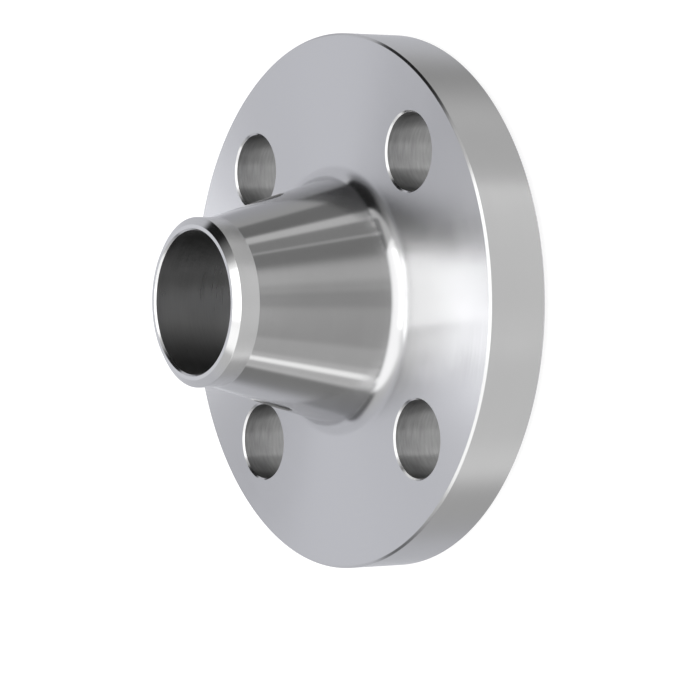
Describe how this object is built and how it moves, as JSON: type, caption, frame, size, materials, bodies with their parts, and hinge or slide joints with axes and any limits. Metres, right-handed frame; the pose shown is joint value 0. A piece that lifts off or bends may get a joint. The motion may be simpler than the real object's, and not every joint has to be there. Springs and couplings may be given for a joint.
{
  "type": "weld neck flange",
  "caption": "Round forged pipe flange with a bolt circle, a raised sealing face and a tapered hub that ends in a bevelled neck for butt welding to a pipe.",
  "frame": {"origin": "centre of the raised face, on the flange's axis, at the lowest plane of the part", "axes": "+Z along the flange's axis from the raised face to the weld end; the bolt holes straddle the X and Y axes, at 45 degrees to them"},
  "size_m": [0.155, 0.155, 0.069],
  "materials": {
    "machined_steel": "bright machined stainless steel with fine turning marks"
  },
  "bodies": {
    "root": {"weld_neck_flange": "machined_steel"}
  },
  "joints": []
}
